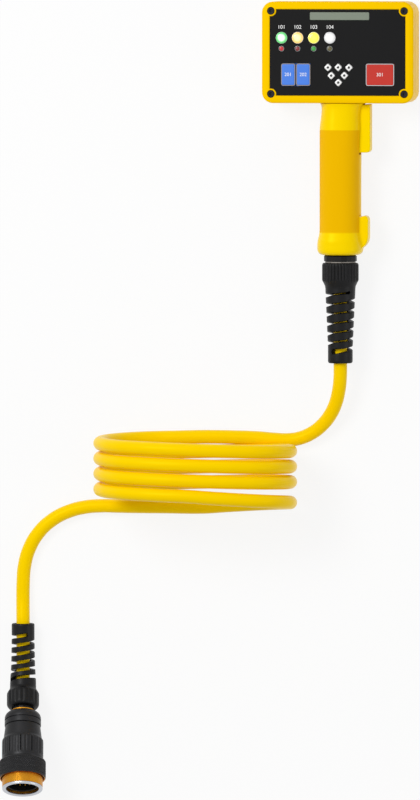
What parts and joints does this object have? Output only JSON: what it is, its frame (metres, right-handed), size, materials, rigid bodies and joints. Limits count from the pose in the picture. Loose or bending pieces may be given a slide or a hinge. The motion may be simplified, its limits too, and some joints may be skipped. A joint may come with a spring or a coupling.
{
  "type": "hoist remote control",
  "caption": "Pendant hoist controller: keypad head with lamps and display, pistol grip with trigger, spiral strain relief, coiled yellow lead and circular multi-pin plug",
  "frame": {"origin": "middle of the handset's footprint on the surface it lies on, its free lead and plug left out", "axes": "+X across the keypad to its right side and to the trigger, +Y from the grip towards the head, +Z out of the keypad"},
  "size_m": [0.3741, 0.7157, 0.1196],
  "materials": {
    "body_yellow": "satin",
    "cord_yellow": "satin",
    "moulded_black": "matte",
    "seal_rubber": "matte",
    "steel": "brushed",
    "brass": "polished",
    "black_anodised": "satin",
    "panel_film": "satin",
    "display_glass": "gloss",
    "board": "satin",
    "key_blue": "satin",
    "key_red": "satin",
    "key_white": "satin",
    "lens_green": "gloss",
    "lens_amber": "gloss",
    "lens_yellow": "gloss",
    "lens_white": "gloss",
    "lens_red": "gloss"
  },
  "bodies": {
    "handset": {"rear_housing": "body_yellow", "front_bezel": "body_yellow", "grip_front": "body_yellow", "grip_rear": "body_yellow", "housing_gasket": "seal_rubber", "front_panel": "panel_film", "display_window": "display_glass", "display_module": "moulded_black", "circuit_board": "board", "lamp_green": "lens_green", "lamp_amber": "lens_amber", "lamp_yellow": "lens_yellow", "lamp_white": "lens_white", "trigger_pin": "steel", "trigger_spring": "steel", "trigger_switch": "moulded_black", "wiring_loom": "moulded_black", "gland_body": "moulded_black", "gland_seal": "seal_rubber", "gland_washer": "steel", "gland_locknut": "brass", "gland_nut": "moulded_black", "plug_strain_relief": "moulded_black", "plug_gland_body": "moulded_black", "plug_seal": "seal_rubber", "plug_washer": "brass", "backshell": "black_anodised", "plug_shell": "black_anodised", "plug_barrel": "brass", "barrel_rim": "steel", "pin_insert": "moulded_black", "cord_upper": "cord_yellow", "cord_coil": "cord_yellow", "cord_lower": "cord_yellow", "cover_screw_1": "moulded_black", "status_led_1": "lens_red", "cover_screw_2": "moulded_black", "status_led_2": "lens_red", "cover_screw_3": "moulded_black", "status_led_3": "lens_red", "cover_screw_4": "moulded_black", "status_led_4": "lens_red", "board_screw_1": "steel", "grip_screw_1": "steel", "board_screw_2": "steel", "grip_screw_2": "steel", "mount_screw_1": "steel", "mount_screw_2": "steel", "mount_screw_3": "steel"},
    "blue_key_left": {"blue_key_left": "key_blue"},
    "blue_key_right": {"blue_key_right": "key_blue"},
    "red_key": {"red_key": "key_red"},
    "arrow_key_1": {"arrow_key_1": "key_white"},
    "arrow_key_2": {"arrow_key_2": "key_white"},
    "arrow_key_3": {"arrow_key_3": "key_white"},
    "arrow_key_4": {"arrow_key_4": "key_white"},
    "arrow_key_5": {"arrow_key_5": "key_white"},
    "arrow_key_6": {"arrow_key_6": "key_white"},
    "trigger": {"trigger": "body_yellow"},
    "coupling_ring": {"coupling_ring": "black_anodised"}
  },
  "joints": [
    {"name": "blue_key_left_press", "type": "slide", "parent": "handset", "child": "blue_key_left", "axis": [0, 0, -1], "range_m": [0, 0.0009], "stiffness_N_per_m": 1500, "springref_m": -0.0005},
    {"name": "blue_key_right_press", "type": "slide", "parent": "handset", "child": "blue_key_right", "axis": [0, 0, -1], "range_m": [0, 0.0009], "stiffness_N_per_m": 1500, "springref_m": -0.0005},
    {"name": "red_key_press", "type": "slide", "parent": "handset", "child": "red_key", "axis": [0, 0, -1], "range_m": [0, 0.0009], "stiffness_N_per_m": 1500, "springref_m": -0.0005},
    {"name": "arrow_key_1_press", "type": "slide", "parent": "handset", "child": "arrow_key_1", "axis": [0, 0, -1], "range_m": [0, 0.0009], "stiffness_N_per_m": 1500, "springref_m": -0.0005},
    {"name": "arrow_key_2_press", "type": "slide", "parent": "handset", "child": "arrow_key_2", "axis": [0, 0, -1], "range_m": [0, 0.0009], "stiffness_N_per_m": 1500, "springref_m": -0.0005},
    {"name": "arrow_key_3_press", "type": "slide", "parent": "handset", "child": "arrow_key_3", "axis": [0, 0, -1], "range_m": [0, 0.0009], "stiffness_N_per_m": 1500, "springref_m": -0.0005},
    {"name": "arrow_key_4_press", "type": "slide", "parent": "handset", "child": "arrow_key_4", "axis": [0, 0, -1], "range_m": [0, 0.0009], "stiffness_N_per_m": 1500, "springref_m": -0.0005},
    {"name": "arrow_key_5_press", "type": "slide", "parent": "handset", "child": "arrow_key_5", "axis": [0, 0, -1], "range_m": [0, 0.0009], "stiffness_N_per_m": 1500, "springref_m": -0.0005},
    {"name": "arrow_key_6_press", "type": "slide", "parent": "handset", "child": "arrow_key_6", "axis": [0, 0, -1], "range_m": [0, 0.0009], "stiffness_N_per_m": 1500, "springref_m": -0.0005},
    {"name": "trigger_pull", "type": "hinge", "parent": "handset", "child": "trigger", "pos_m": [0.012, 0.0646, 0.022], "axis": [0, 0, -1], "range_deg": [0, 8], "stiffness_Nm_per_rad": 1.5, "springref_deg": -4.58, "deforming": ["trigger_spring"]},
    {"name": "coupling_ring_turn", "type": "hinge", "parent": "handset", "child": "coupling_ring", "pos_m": [-0.289, -0.462, 0.01686], "axis": [0.0601, -0.9043, 0.4226], "continuous": true}
  ]
}
